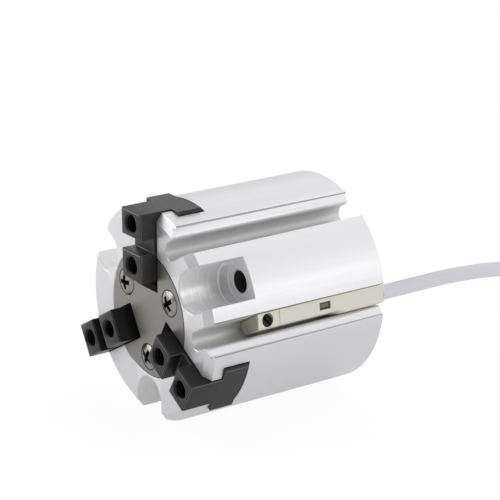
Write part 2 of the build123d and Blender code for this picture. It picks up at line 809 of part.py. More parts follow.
# Switch housing behind the clamp: it widens to the rear, and has a recess for its indicator window
switch_top_angle = switch_sector_angle - math.degrees(math.asin(switch_centre_v / switch_top_radius))
window_place = outward_plane(switch_top_radius, window_depth, switch_top_angle)
with BuildPart() as switch_body:
    with BuildSketch(cross_plane(switch_joint_depth, switch_sector_angle)):
        add(switch_section(switch_width))
    extrude(amount=-(body_length - switch_joint_depth))
    with BuildSketch(cross_plane(switch_rear_depth - switch_rear_taper, switch_sector_angle)):
        add(switch_section(switch_width))
    with BuildSketch(cross_plane(switch_rear_depth, switch_sector_angle)):
        add(switch_section(switch_rear_width))
    loft()
    with BuildSketch(cross_plane(switch_rear_depth, switch_sector_angle)):
        add(switch_section(switch_rear_width))
    extrude(amount=-(body_length - switch_rear_depth))
    with BuildSketch(window_place):
        Rectangle(window_width + 2 * seat_clearance, window_length + 2 * seat_clearance)
    extrude(amount=-(window_sink + window_thickness), mode=Mode.SUBTRACT)
finish(switch_body, "switch_body")

with BuildPart() as switch_window:
    with BuildSketch(window_place.offset(-window_sink - window_thickness)):
        Rectangle(window_width, window_length)
    extrude(amount=window_thickness)
finish(switch_window, "switch_window")

# Lead: a free cord that leaves the switch, sags to the floor and runs into its coil
sector = math.radians(switch_sector_angle)
cable_exit_v = -(groove_centre_v - groove_width / 2 + cable_radius + cable_exit_gap)
exit_x = cable_exit_u * math.cos(sector) - cable_exit_v * math.sin(sector)
exit_z = cable_exit_u * math.sin(sector) + cable_exit_v * math.cos(sector)
coil_bottom_z = floor_z + tie_thickness + tie_clearance
coil_lane_radius = coil_radius + cable_radius
stub_z = coil_bottom_z + coil_lane_clearance + cable_radius
stub_x = coil_x + coil_lane_radius
stub_y = coil_y - coil_stub
cable_route = [
    Vector(exit_x, 0.0, exit_z),
    Vector(exit_x, cable_exit_run, exit_z),
    Vector(19.1, 18.0, 1.4),
    Vector(19.2, 28.0, 0.7),
    Vector(19.3, 37.5, -0.8),
    Vector(19.7, 45.0, -5.0),
    Vector(20.3, 51.5, -11.0),
    Vector(21.0, 58.5, -16.8),
    Vector(stub_x, stub_y - stub_run, stub_z),
    Vector(stub_x, stub_y, stub_z),
]


def bend_radii(route):
    """Radius of each bend of a route, as large as the runs on its two sides allow."""
    radii = []
    for before, corner, after in zip(route, route[1:], route[2:]):
        turn = (corner - before).get_angle(after - corner)
        run = min((corner - before).length, (after - corner).length)
        radii.append(0.45 * run / math.tan(math.radians(turn / 2)))
    return radii


with BuildPart() as cable:
    with BuildLine():
        cable_path = FilletPolyline(*cable_route, radius=bend_radii(cable_route))
    with BuildSketch(Plane(origin=cable_path @ 0, z_dir=cable_path % 0)):
        Circle(cable_radius)
    sweep()
finish(cable, "cable")
cable_volume = math.pi * cable_radius ** 2 * cable_path.length
print("cable bends", [round(r, 1) for r in bend_radii(cable_route)], "length", round(cable_path.length, 1))
print("cable volume", round(cable.part.volume, 1), "section times length", round(cable_volume, 1))

# The rest of the lead in one coil, three and a half turns in two layers; its end comes down
# outside the coil and lies against it on the floor
lane_top_z = coil_bottom_z + coil_height - coil_lane_clearance - cable_radius
tail_drop = lane_top_z - (floor_z + cable_radius)
tail_reach = coil_radius + coil_width / 2 + cable_radius + tail_gap - coil_lane_radius
tail_route = []
for step in range(tail_steps + 1):
    turn = math.radians(tail_start_angle + tail_step_angle * step)
    share = min(max(step - 1, 0) / tail_drop_steps, 1)
    quarter = share * math.pi / 2
    tail_radius = coil_lane_radius + tail_reach * math.sin(quarter)
    tail_z = lane_top_z - tail_drop * (1 - math.cos(quarter))
    tail_route.append(
        Vector(coil_x + tail_radius * math.cos(turn), coil_y + tail_radius * math.sin(turn), tail_z)
    )
coil_axis = Axis((coil_x, coil_y, 0), (0, 0, 1))


def coil_plane(angle):
    """Upright plane through the coil's axis, its x outwards in the given direction."""
    turn = math.radians(angle)
    return Plane(
        origin=(coil_x, coil_y, coil_bottom_z + coil_height / 2),
        x_dir=(math.cos(turn), math.sin(turn), 0),
        z_dir=(math.sin(turn), -math.cos(turn), 0),
    )


with BuildPart() as cable_coil:
    with BuildSketch(coil_plane(0)):
        with Locations((coil_radius, 0)):
            RectangleRounded(coil_width, coil_height, cable_radius)
    revolve(axis=coil_axis)
    with BuildSketch(Plane(origin=(stub_x, stub_y, stub_z), z_dir=(0, 1, 0))):
        Circle(cable_radius)
    extrude(amount=coil_stub)
    with BuildLine():
        tail_path = FilletPolyline(*tail_route, radius=bend_radii(tail_route))
    with BuildSketch(Plane(origin=tail_path @ 0, z_dir=tail_path % 0)):
        Circle(cable_radius)
    sweep()
finish(cable_coil, "cable_coil")
print("tail bends", [round(r, 1) for r in bend_radii(tail_route)], "length", round(tail_path.length, 1))

# Tie round the coil, resting on the floor
with BuildPart() as coil_tie:
    with BuildSketch(coil_plane(tie_angle)):
        with Locations((coil_radius, 0)):
            inner = 2 * tie_clearance
            outer = 2 * (tie_clearance + tie_thickness)
            RectangleRounded(coil_width + outer, coil_height + outer, cable_radius + outer / 2)
            hole_radius = cable_radius + inner / 2
            RectangleRounded(coil_width + inner, coil_height + inner, hole_radius, mode=Mode.SUBTRACT)
    revolve(axis=coil_axis, revolution_arc=math.degrees(tie_width / coil_radius))
finish(coil_tie, "coil_tie")

# Bare cores at the end of the tail
tail_direction = tail_path % 1
tail_end_plane = Plane(
    origin=tail_path @ 1,
    x_dir=(tail_direction.Y, -tail_direction.X, 0),
    z_dir=tail_direction,
)
with BuildPart() as cable_cores:
    with BuildSketch(tail_end_plane):
        with Locations((-core_spread, 0), (core_spread, 0)):
            Circle(core_radius)
    extrude(amount=core_length)
    with BuildSketch(tail_end_plane.offset(core_length)):
        with Locations((-core_spread, 0), (core_spread, 0)):
            Circle(core_strand_radius)
    extrude(amount=core_strand_length)
finish(cable_cores, "cable_cores")
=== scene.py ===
"""Looks of a small pneumatic three jaw gripper with its piston switch and lead.

The CAD model is loaded as a fixed frame. Sizes are in metres, in the frame's own axes:
+Y runs along the gripper's axis out of its mounting face, the jaws face -Y, +Z is up.
"""

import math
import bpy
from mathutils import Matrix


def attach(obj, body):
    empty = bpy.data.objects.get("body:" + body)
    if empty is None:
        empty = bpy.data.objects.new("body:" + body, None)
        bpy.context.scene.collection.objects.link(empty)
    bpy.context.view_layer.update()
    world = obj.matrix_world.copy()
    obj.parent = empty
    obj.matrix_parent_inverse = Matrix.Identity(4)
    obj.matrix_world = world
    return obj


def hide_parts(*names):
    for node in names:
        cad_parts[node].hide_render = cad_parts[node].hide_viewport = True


bl_info = {
    "name": "Three jaw gripper looks",
    "version": (1, 0, 0),
    "blender": (4, 5, 0),
    "location": "View3D > Sidebar > Gripper",
    "description": "Camera, lead, finishes and studio for the three jaw gripper",
    "category": "Object",
}

import bmesh
import bpy
from bpy.props import FloatProperty, FloatVectorProperty, PointerProperty
from mathutils import Matrix, Vector

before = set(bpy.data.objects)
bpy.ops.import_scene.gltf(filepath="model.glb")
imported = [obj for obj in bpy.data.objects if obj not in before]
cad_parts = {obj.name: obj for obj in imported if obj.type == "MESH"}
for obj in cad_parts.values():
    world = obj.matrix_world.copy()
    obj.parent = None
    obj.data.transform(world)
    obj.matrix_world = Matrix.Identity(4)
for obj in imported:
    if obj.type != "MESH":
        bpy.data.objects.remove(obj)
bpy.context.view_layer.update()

MM = 0.001
WHITE = (1, 1, 1, 1)

# places on the gripper, in millimetres and degrees
BODY_LENGTH = 40.7
POCKET_ANGLES = (30, 150, 270)
POCKET_WIDTH = 8.2
POCKET_DEPTH = 10.9
POCKET_INNER_END = 12.6
POCKET_STEP_REACH = 4.0
POCKET_STEP_DEPTHS = (8.0, 11.5)
MOUNT_CIRCLE = 17.0
MOUNT_HOLE_REACH = 2.3
HOLE_MOUTH_Y = -29.6
SWITCH_SECTOR = 30
GROOVE_ACROSS = 8.61
GROOVE_WIDTH = 3.48
GROOVE_FLOOR = 12.0
LEDGE_RIM_RADIUS = 20.4
JAW_ANGLES = {"top": 90, "right": -30, "left": 210}
JAW_HOLE_RADII = (10.3, 18.5)
JAW_THREAD_RADIUS = 1.65
JAW_THREAD_PITCH = 0.7
JAW_COUNTERSINK = 0.5
SCREW_CIRCLE = 8.7
SCREW_HEAD_RADIUS = 2.45
SCREW_HEAD_RIM = 0.22
SCREW_FACE_Y = -BODY_LENGTH - 0.2
CORE_LENGTH = 6.0

# how the looks are made, in millimetres and degrees
MERGE_GAP = 0.0005
SHARP_ANGLE = 35
SMOOTH_ANGLE = 25
NEAR = 0.05
BODY_CHAMFER = 0.2
JAW_CHAMFER = 0.09
CROSS_CHAMFER = 0.17
LONG_EDGE = 10.0
JAW_EDGE = 0.8
WINDOW_SHADE_RIM = 0.42
DIE_LINE_GAP = 0.25
DIE_LINE_LENGTH = 40.0
MILLED_STEP = 0.6

# places of the finishes in the lists of the body, the jaws and the lead's cores
DRAWN, LEDGE_SHADE, MILLED, CUT_HIGHLIGHT, ROUGH_AND_SHADED = range(5)
BLACK, RUBBED_AND_GLINT, TAPPED_SHADE = range(3)
BROWN, BLUE, COPPER = range(3)

# the camera that the outlines in the photograph give, in millimetres
CAMERA_LENS = 134.676
CAMERA_SENSOR = 36
CAMERA_PLACE = (282.557, -217.013, 124.072)
CAMERA_RIGHT = (0.57731, 0.81652, 0.00149)
CAMERA_UP = (-0.25993, 0.18205, 0.94831)

# the floor lies just under the body, and each lamp has its size and place in metres
FLOOR_Z = -21.02
FLOOR_HALF = 1.5
FLOOR_WHITE = 1.03
FLOOR_SEEN_SHARE = 0.9
LAMP_TARGET = (0, -20 * MM, 0)
LAMPS = {
    "key": (1.0, (0.35, 0.55, 0.5)),
    "side": (0.5, (0.6, 0.25, 0.05)),
    "top": (0.8, (-0.25, 0.3, 0.6)),
    "card": (0.5, (-0.5, 0.4, 0.24)),
    "fill": (0.6, (-0.45, -0.4, 0.28)),
}


def hex_colour(text):
    """Linear RGBA of an sRGB hex colour such as #C8C8CC."""
    channels = [int(text[i:i + 2], 16) / 255 for i in (1, 3, 5)]
    linear = [c / 12.92 if c <= 0.04045 else ((c + 0.055) / 1.055) ** 2.4 for c in channels]
    return (*linear, 1.0)


def colour_property(name, text, description):
    """A colour that a user may change, its default written as an sRGB hex value."""
    return FloatVectorProperty(
        name=name, description=description, subtype="COLOR", size=4, min=0, max=1,
        default=hex_colour(text),
    )


def length_property(name, metres, description):
    """A length that a user may change."""
    return FloatProperty(name=name, description=description, default=metres, unit="LENGTH", precision=5)


def power_property(name, watts, description):
    """The power of a lamp that a user may change."""
    return FloatProperty(name=name, description=description, default=watts, unit="POWER")


class GripperFinish(bpy.types.PropertyGroup):
    """Colours of the gripper's finishes."""
    body: colour_property("Body", "#E3E3E6", "Clear anodised aluminium of the body")
    milled: colour_property("Milled pockets", "#F3F3F4", "Bright milled walls of the mounting pockets")
    # rougher groove walls, their colour painted a little darker as shade
    groove: colour_property("Grooves", "#DBDCDB", "Rough drawn walls of the switch grooves")
    # painted highlight on the chamfers of the pockets' steps
    cut_edge_highlight: colour_property("Cut edges", "#FAFAFA", "Bright edges of the steps in the pockets")
    # painted shade inside the mounting holes
    bore_shade: colour_property("Drilled holes", "#6A706D", "Dark drilled wall of the mounting holes")
    # painted shade: a darker grey for the ledges' outer chamfers, standing for their step walls in shade
    ledge_edge_shade: colour_property("Die lines", "#9B9EA2", "Dull outer edges of the grooves' ledges")
    plate: colour_property("Front plate", "#94928E", "Ground steel of the front plate")
    jaw: colour_property("Jaws", "#393737", "Blackened hard steel of the jaws")
    # worn jaw edges, brightened further as painted glints
    jaw_edge: colour_property("Jaw edges", "#5E5B5A", "Rubbed edges of the jaws")
    # painted shade for recesses, tapped holes and gaps, and also the real near-black of the black oxide set
    # screw
    recess: colour_property("Recesses", "#171615", "Dark recesses, tapped holes and gaps")
    screw: colour_property("Screws", "#9C9892", "Nickel plate on the front screws")
    inner_steel: colour_property("Cam", "#8E8F92", "Ground steel of the wedge cam and its rod")
    piston: colour_property("Piston", "#B9BABD", "Turned aluminium of the piston and the rear cap")
    rubber: colour_property("Rubber", "#1D1D1F", "Nitrile rubber of the seals and bumpers")
    magnet: colour_property("Magnet", "#3B3A3A", "Bonded ferrite of the piston's magnet")
    spring_steel: colour_property("Retaining ring", "#2C2B2D", "Phosphated spring steel")
    switch: colour_property("Switch", "#EAE7DB", "Glass filled nylon of the switch")
    # painted shade on the front end of the clamp
    nose: colour_property("Clamp nose", "#B3B1A0", "Shaded front end of the switch's clamp")
    window: colour_property("Switch window", "#75725E", "Clouded window over the indicator lamp")
    # painted shade: the walls and rim of the window's recess
    window_rim_shade: colour_property("Window rim", "#1B1A15", "Dark rim of the window")
    lead: colour_property("Lead", "#E0E0E6", "PVC sheath of the lead")
    tie: colour_property("Tie", "#E9E8E2", "Nylon of the coil's tie")
    core_brown: colour_property("Brown core", "#6A4326", "Insulation of the first core")
    core_blue: colour_property("Blue core", "#2C55A0", "Insulation of the second core")
    copper: colour_property("Copper", "#E0997A", "Bare copper strands")


class GripperLead(bpy.types.PropertyGroup):
    """Sizes of the switch's lead."""
    diameter: length_property("Diameter", 3.0 * MM, "Outer diameter of the lead")
    length: length_property("Length", 516 * MM, "Whole length of the lead up to its bare cores")
    exit: FloatVectorProperty(
        name="Exit",
        description="Middle of the lead where it leaves the switch",
        subtype="TRANSLATION",
        size=3,
        default=(19.259 * MM, 0, 1.443 * MM),
    )


class GripperStudio(bpy.types.PropertyGroup):
    """Lamps and floor round the gripper."""
    key: power_property("Key", 2.9, "Power of the lamp behind on the right")
    side: power_property("Side", 0.98, "Power of the lamp on the right")
    top: power_property("Top", 1.35, "Power of the wide lamp above")
    card: power_property("Card", 0.35, "Power of the low lamp behind on the left")
    fill: power_property("Fill", 2.5, "Power of the lamp at the front left")
    world: FloatProperty(name="Sky", description="Strength of the even light", default=0.3)
    glow: FloatProperty(name="Table glow", description="Share of the light table's own light", default=0.31)
    floor: colour_property("Floor", "#F4F4F4", "Pale paper under the gripper")


def add_node(tree, kind, inputs=None, **settings):
    """Add a shader node, set it up, and give its sockets values or other nodes' outputs."""
    node = tree.nodes.new(kind)
    for name, value in settings.items():
        setattr(node, name, value)
    for name, value in (inputs or {}).items():
        if isinstance(value, bpy.types.NodeSocket):
            tree.links.new(value, node.inputs[name])
        else:
            node.inputs[name].default_value = value
    return node


def start_finish(name, colour, metallic, roughness):
    """A new material with its uniform values on the shader's own sockets."""
    material = bpy.data.materials.new(name)
    material.use_nodes = True
    shader = material.node_tree.nodes["Principled BSDF"]
    shader.inputs["Base Color"].default_value = colour
    shader.inputs["Metallic"].default_value = metallic
    shader.inputs["Roughness"].default_value = roughness
    return material, material.node_tree, shader


def set_finish(names, material):
    """Give CAD nodes one material."""
    for name in names:
        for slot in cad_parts[name].material_slots:
            slot.material = material


def shaded(colour, share):
    """A colour at a share of its brightness."""
    return (*(c * share for c in colour[:3]), 1.0)


def mottled_finish(name, colour, metallic, roughness, grain_mm, colour_swing, gloss_swing, relief_mm=0.0):
    """A finish whose colour and gloss vary gently over a real grain size."""
    material, tree, shader = start_finish(name, colour, metallic, roughness)
    place = add_node(tree, "ShaderNodeTexCoord")
    grain = add_node(
        tree, "ShaderNodeTexNoise",
        {"Vector": place.outputs["Object"], "Scale": 1 / (grain_mm * MM), "Detail": 3.0},
    )
    tint = add_node(
        tree, "ShaderNodeMix",
        {"Factor": grain.outputs["Fac"], "A": shaded(colour, 1 - colour_swing), "B": colour},
        data_type="RGBA",
    )
    tree.links.new(tint.outputs["Result"], shader.inputs["Base Color"])
    low, high = roughness - gloss_swing, roughness + gloss_swing
    gloss = add_node(
        tree, "ShaderNodeMapRange", {"Value": grain.outputs["Fac"], "To Min": low, "To Max": high}
    )
    tree.links.new(gloss.outputs["Result"], shader.inputs["Roughness"])
    if relief_mm:
        relief = add_node(
            tree, "ShaderNodeBump",
            {"Height": grain.outputs["Fac"], "Distance": relief_mm * MM, "Strength": 1.0},
        )
        tree.links.new(relief.outputs["Normal"], shader.inputs["Normal"])
    return material


def new_object(name, data):
    """Put new data in the scene as an object at the origin."""
    obj = bpy.data.objects.new(name, data)
    bpy.context.scene.collection.objects.link(obj)
    return obj


def copy_form(node, name):
    """A copy of a CAD node's mesh, and the same as a bmesh whose faces share their vertices."""
    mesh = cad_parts[node].data.copy()
    mesh.name = name
    build = bmesh.new()
    build.from_mesh(mesh)
    bmesh.ops.remove_doubles(build, verts=build.verts, dist=MERGE_GAP * MM)
    return mesh, build


def stand_for(node, mesh, build, body, materials):
    """Put a reworked copy in the scene, on its body, in the place of its CAD node."""
    mesh.materials.clear()
    for material in materials:
        mesh.materials.append(material)
    build.to_mesh(mesh)
    build.free()
    piece = new_object(mesh.name, mesh)
    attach(piece, body)
    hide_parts(node)


def finished_copy(node, name, body, materials, kind_of_face, chamfer_mm=0.0, wanted=None):
    """A copy of a CAD node that stands for it, each face with its own finish.

    kind_of_face gives a face's place in materials from its middle in millimetres, its normal and
    whether it is a chamfer. Sharp edges that wanted picks from their middle and direction in
    millimetres get a small chamfer.
    """
    mesh, build = copy_form(node, name)
    chamfers = set()
    if wanted:
        chosen = []
        for edge in build.edges:
            if len(edge.link_faces) == 2 and edge.calc_face_angle() > math.radians(SHARP_ANGLE):
                start, end = (vert.co / MM for vert in edge.verts)
                if wanted((start + end) / 2, end - start):
                    chosen.append(edge)
        chamfers.update(bmesh.ops.bevel(
            build, geom=chosen, offset=chamfer_mm * MM, offset_type="OFFSET", segments=1, profile=0.5,
            affect="EDGES", clamp_overlap=False, material=-1,
        )["faces"])
    for face in build.faces:
        face.smooth = True
        middle = face.calc_center_median() / MM
        face.material_index = kind_of_face(middle, face.normal, face in chamfers)
    for edge in build.edges:
        edge.smooth = len(edge.link_faces) == 2 and edge.calc_face_angle() < math.radians(SMOOTH_ANGLE)
    stand_for(node, mesh, build, body, materials)


def threaded_finish(name, colour, pitch_mm):
    """A tapped wall painted dark as shade, whose ridges follow one another along the gripper's axis."""
    material, tree, shader = start_finish(name, colour, 0.4, 0.45)
    place = add_node(tree, "ShaderNodeTexCoord")
    apart = add_node(tree, "ShaderNodeSeparateXYZ", {"Vector": place.outputs["Object"]})
    turns = add_node(
        tree, "ShaderNodeMath",
        {0: apart.outputs["Y"], 1: 2 * math.pi / (pitch_mm * MM)}, operation="MULTIPLY",
    )
    ridge = add_node(tree, "ShaderNodeMath", {0: turns.outputs[0]}, operation="SINE")
    relief = add_node(
        tree, "ShaderNodeBump", {"Height": ridge.outputs[0], "Distance": 0.05 * MM, "Strength": 1.0}
    )
    tree.links.new(relief.outputs["Normal"], shader.inputs["Normal"])
    return material


def circle_point(circle, angle):
    """Place of an axis on a circle round the gripper's axis, as x and z in millimetres."""
    turn = math.radians(angle)
    return circle * math.cos(turn), circle * math.sin(turn)


def gap_to_axes(tree, flat, circle, angles):
    """Distance from the nearest of some axes that run along the gripper on one circle."""
    nearest = None
    for angle in angles:
        x, z = circle_point(circle, angle)
        axis = (x * MM, z * MM, 0)
        distance = add_node(tree, "ShaderNodeVectorMath", {0: flat, 1: axis}, operation="DISTANCE")
        gap = distance.outputs["Value"]
        if nearest is None:
            nearest = gap
        else:
            smaller = add_node(tree, "ShaderNodeMath", {0: nearest, 1: gap}, operation="MINIMUM")
            nearest = smaller.outputs[0]
    return nearest


def anodised_extrusion(colour, bore_shade_colour):
    """Clear anodised aluminium: satin, with fine die lines along the bar, turned rings on its ends and
    painted shade inside the mounting holes.
    """
    material, tree, shader = start_finish("anodised_aluminium_extruded", colour, 0.65, 0.4)
    place = add_node(tree, "ShaderNodeTexCoord")
    # fine die lines, drawn out along the axis
    across_lines, along_lines = 1 / (DIE_LINE_GAP * MM), 1 / (DIE_LINE_LENGTH * MM)
    along = add_node(
        tree, "ShaderNodeVectorMath",
        {0: place.outputs["Object"], 1: (across_lines, along_lines, across_lines)}, operation="MULTIPLY",
    )
    lines = add_node(tree, "ShaderNodeTexNoise", {"Vector": along.outputs[0], "Scale": 1.0, "Detail": 2.0})
    # turned rings round the axis, as far apart as the die lines so that they show
    apart = add_node(tree, "ShaderNodeSeparateXYZ", {"Vector": place.outputs["Object"]})
    flat = add_node(tree, "ShaderNodeCombineXYZ", {"X": apart.outputs["X"], "Y": apart.outputs["Z"]})
    radius = add_node(tree, "ShaderNodeVectorMath", {0: flat.outputs["Vector"]}, operation="LENGTH")
    reach = add_node(
        tree, "ShaderNodeMath", {0: radius.outputs["Value"], 1: across_lines}, operation="MULTIPLY"
    )
    rings = add_node(
        tree, "ShaderNodeTexNoise", {"W": reach.outputs[0], "Scale": 1.0}, noise_dimensions="1D"
    )
    facing = add_node(tree, "ShaderNodeSeparateXYZ", {"Vector": place.outputs["Normal"]})
    size = add_node(tree, "ShaderNodeMath", {0: facing.outputs["Y"]}, operation="ABSOLUTE")
    is_end = add_node(tree, "ShaderNodeMath", {0: size.outputs[0], 1: 0.9}, operation="GREATER_THAN")
    marks = add_node(
        tree, "ShaderNodeMix",
        {"Factor": is_end.outputs[0], "A": lines.outputs["Fac"], "B": rings.outputs["Fac"]},
        data_type="FLOAT",
    )
    gloss = add_node(
        tree, "ShaderNodeMapRange",
        {"Value": marks.outputs["Result"], "From Min": 0.3, "From Max": 0.7, "To Min": 0.38, "To Max": 0.47},
    )
    tree.links.new(gloss.outputs["Result"], shader.inputs["Roughness"])
    relief = add_node(
        tree, "ShaderNodeBump", {"Height": marks.outputs["Result"], "Distance": 0.004 * MM, "Strength": 1.0}
    )
    tree.links.new(relief.outputs["Normal"], shader.inputs["Normal"])
    # painted shade: the long drilled mounting holes are painted dark inside, where shade falls
    nearest = gap_to_axes(tree, flat.outputs["Vector"], MOUNT_CIRCLE, POCKET_ANGLES)
    within = add_node(
        tree, "ShaderNodeMath", {0: nearest, 1: MOUNT_HOLE_REACH * MM}, operation="LESS_THAN"
    )
    beyond = add_node(
        tree, "ShaderNodeMath", {0: apart.outputs["Y"], 1: HOLE_MOUTH_Y * MM}, operation="GREATER_THAN"
    )
    drilled = add_node(
        tree, "ShaderNodeMath", {0: within.outputs[0], 1: beyond.outputs[0]}, operation="MULTIPLY"
    )
    tint = add_node(
        tree, "ShaderNodeMix",
        {"Factor": drilled.outputs[0], "A": colour, "B": bore_shade_colour}, data_type="RGBA",
    )
    tree.links.new(tint.outputs["Result"], shader.inputs["Base Color"])
    return material


def milled_pockets(colour):
    """Anodised aluminium cut by an end mill: bright, with fine steps along the cutter's path."""
    material, tree, shader = start_finish("anodised_aluminium_milled", colour, 0.3, 0.32)
    place = add_node(tree, "ShaderNodeTexCoord")
    apart = add_node(tree, "ShaderNodeSeparateXYZ", {"Vector": place.outputs["Object"]})
    # the cutter's own steps of about 0.1 mm are drawn coarser so that they show
    reach = add_node(
        tree, "ShaderNodeMath", {0: apart.outputs["Y"], 1: 1 / (MILLED_STEP * MM)}, operation="MULTIPLY"
    )
    steps = add_node(
        tree, "ShaderNodeTexNoise", {"W": reach.outputs[0], "Scale": 1.0}, noise_dimensions="1D"
    )
    swing = add_node(
        tree, "ShaderNodeMapRange", {"Value": steps.outputs["Fac"], "From Min": 0.3, "From Max": 0.7}
    )
    tint = add_node(
        tree, "ShaderNodeMix",
        {"Factor": swing.outputs["Result"], "A": shaded(colour, 0.92), "B": colour}, data_type="RGBA",
    )
    tree.links.new(tint.outputs["Result"], shader.inputs["Base Color"])
    gloss = add_node(
        tree, "ShaderNodeMapRange", {"Value": swing.outputs["Result"], "To Min": 0.38, "To Max": 0.26}
    )
    tree.links.new(gloss.outputs["Result"], shader.inputs["Roughness"])
    relief = add_node(
        tree, "ShaderNodeBump", {"Height": steps.outputs["Fac"], "Distance": 0.02 * MM, "Strength": 1.0}
    )
    tree.links.new(relief.outputs["Normal"], shader.inputs["Normal"])
    return material


def sector_place(middle, angle):
    """How far a place lies out along a direction from the gripper's axis, and how far across it."""
    turn = math.radians(angle)
    out = middle.x * math.cos(turn) + middle.z * math.sin(turn)
    across = middle.z * math.cos(turn) - middle.x * math.sin(turn)
    return out, across


class GRIPPER_OT_camera(bpy.types.Operator):
    """Add the camera at the photograph's viewing angle."""
    bl_idname = "gripper.camera"
    bl_label = "Camera"

    def execute(self, context):
        data = bpy.data.cameras.new("camera")
        data.lens = CAMERA_LENS
        data.sensor_width = CAMERA_SENSOR
        data.clip_start = 0.01
        camera = new_object("camera", data)
        right, up = Vector(CAMERA_RIGHT), Vector(CAMERA_UP)
        turn = Matrix((right, up, right.cross(up))).transposed().to_4x4()
        camera.matrix_world = Matrix.Translation(Vector(CAMERA_PLACE) * MM) @ turn
        context.scene.camera = camera
        return {"FINISHED"}


def lead_points():
    """Route of the lead: out of the switch, down to the floor and round its coil, in millimetres."""
    route = [
        (19.259, 0.0, 1.443),
        (19.259, 8.0, 1.443),
        (19.1, 18.0, 1.4),
        (19.2, 28.0, 0.7),
        (19.3, 37.5, -0.8),
        (19.7, 45.0, -5.0),
        (20.3, 51.5, -11.0),
        (21.0, 58.5, -16.8),
        (21.6, 67.0, -18.7),
        (21.6, 74.5, -18.7),
    ]
    # the coil has an inner and an outer lane, on the floor and on top of that
    centre_x, centre_y = 2.6, 87.0
    inner, outer = 16.0, 19.0
    low, high = -18.7, -15.8
    # degrees of winding at which each stretch of a lane begins and ends, and its radius and height
    lanes = [
        (0, outer, low), (315, outer, low),
        (360, inner, low), (620, inner, low),
        (670, inner, high), (920, inner, high),
        (970, outer, high), (1230, outer, high),
    ]
    coil_points, step_angle = 54, 22.5
    # the curve runs inside its points, so they lie a little outside the lane
    pull = 1 / math.cos(math.radians(step_angle / 2))
    for step in range(coil_points):
        angle = (step - 0.5) * step_angle
        radius, height = outer, low
        for (start, r0, z0), (end, r1, z1) in zip(lanes, lanes[1:]):
            if start <= angle < end:
                share = (angle - start) / (end - start)
                radius = r0 + (r1 - r0) * share
                height = z0 + (z1 - z0) * share
        turn = math.radians(angle)
        route.append((
            centre_x + radius * pull * math.cos(turn),
            centre_y + radius * pull * math.sin(turn),
            height,
        ))
    # the end comes down outside the coil and lies against it on the floor
    tail_start, tail_steps, tail_step_angle = 130, 7, 20
    drop_steps, drop_out, drop_down = 4, 3.6, 3.7
    tail_pull = 1 / math.cos(math.radians(tail_step_angle / 2))
    for step in range(tail_steps + 1):
        turn = math.radians(tail_start + tail_step_angle * step)
        share = min(max(step - 1, 0) / drop_steps, 1)
        radius = outer + drop_out * math.sin(share * math.pi / 2)
        height = high - drop_down * (1 - math.cos(share * math.pi / 2))
        if step < tail_steps:
            radius *= tail_pull
        route.append((centre_x + radius * math.cos(turn), centre_y + radius * math.sin(turn), height))
    return route


class GRIPPER_OT_lead(bpy.types.Operator):
    """Add the switch's lead as one smooth curve, with its bare cores and its tie."""
    bl_idname = "gripper.lead"
    bl_label = "Lead"

    def execute(self, context):
        sizes = context.scene.gripper_lead
        finish = context.scene.gripper_finish
        curve = bpy.data.curves.new("switch_lead", "CURVE")
        curve.dimensions = "3D"
        curve.bevel_depth = sizes.diameter / 2
        curve.bevel_resolution = 5
        curve.use_fill_caps = True
        curve.resolution_u = 8
        spline = curve.splines.new("NURBS")
        route = lead_points()
        spline.points.add(len(route) - 1)
        for point, place in zip(spline.points, route):
            point.co = (*(Vector(place) * MM), 1.0)
        spline.order_u = 3
        spline.use_endpoint_u = True
        # PVC sheath: matt, faintly cloudy, a little soft in its gloss
        sheath = mottled_finish("pvc_sheath_extruded", finish.lead, 0.0, 0.42, 3.0, 0.04, 0.04)
        curve.materials.append(sheath)
        lead = new_object("switch_lead", curve)
        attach(lead, "housing")
        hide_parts("cable", "cable_coil")
        # moulded nylon: milky and smoother than the sheath
        nylon = mottled_finish("nylon_moulded_tie", finish.tie, 0.0, 0.4, 1.5, 0.03, 0.05)
        set_finish(["coil_tie"], nylon)
        # two insulated cores, one brown and one blue, stripped to their copper
        end = Vector(route[-1])
        along = (end - Vector(route[-2])).normalized()
        across = Vector((along.y, -along.x, 0)).normalized()

        def core_material(middle, normal, chamfer):
            """Copper where the core is stripped, otherwise brown on one side and blue on the other."""
            reach = middle - end
            if reach.dot(along) > CORE_LENGTH:
                return COPPER
            return BLUE if reach.dot(across) > 0 else BROWN

        finished_copy(
            "cable_cores", "stripped_cores", "housing",
            [
                mottled_finish("pvc_core_brown", finish.core_brown, 0.0, 0.4, 1.0, 0.1, 0.05),
                mottled_finish("pvc_core_blue", finish.core_blue, 0.0, 0.4, 1.0, 0.1, 0.05),
                mottled_finish("copper_strands_bare", finish.copper, 1.0, 0.3, 0.3, 0.15, 0.08),
            ],
            core_material,
        )
        return {"FINISHED"}


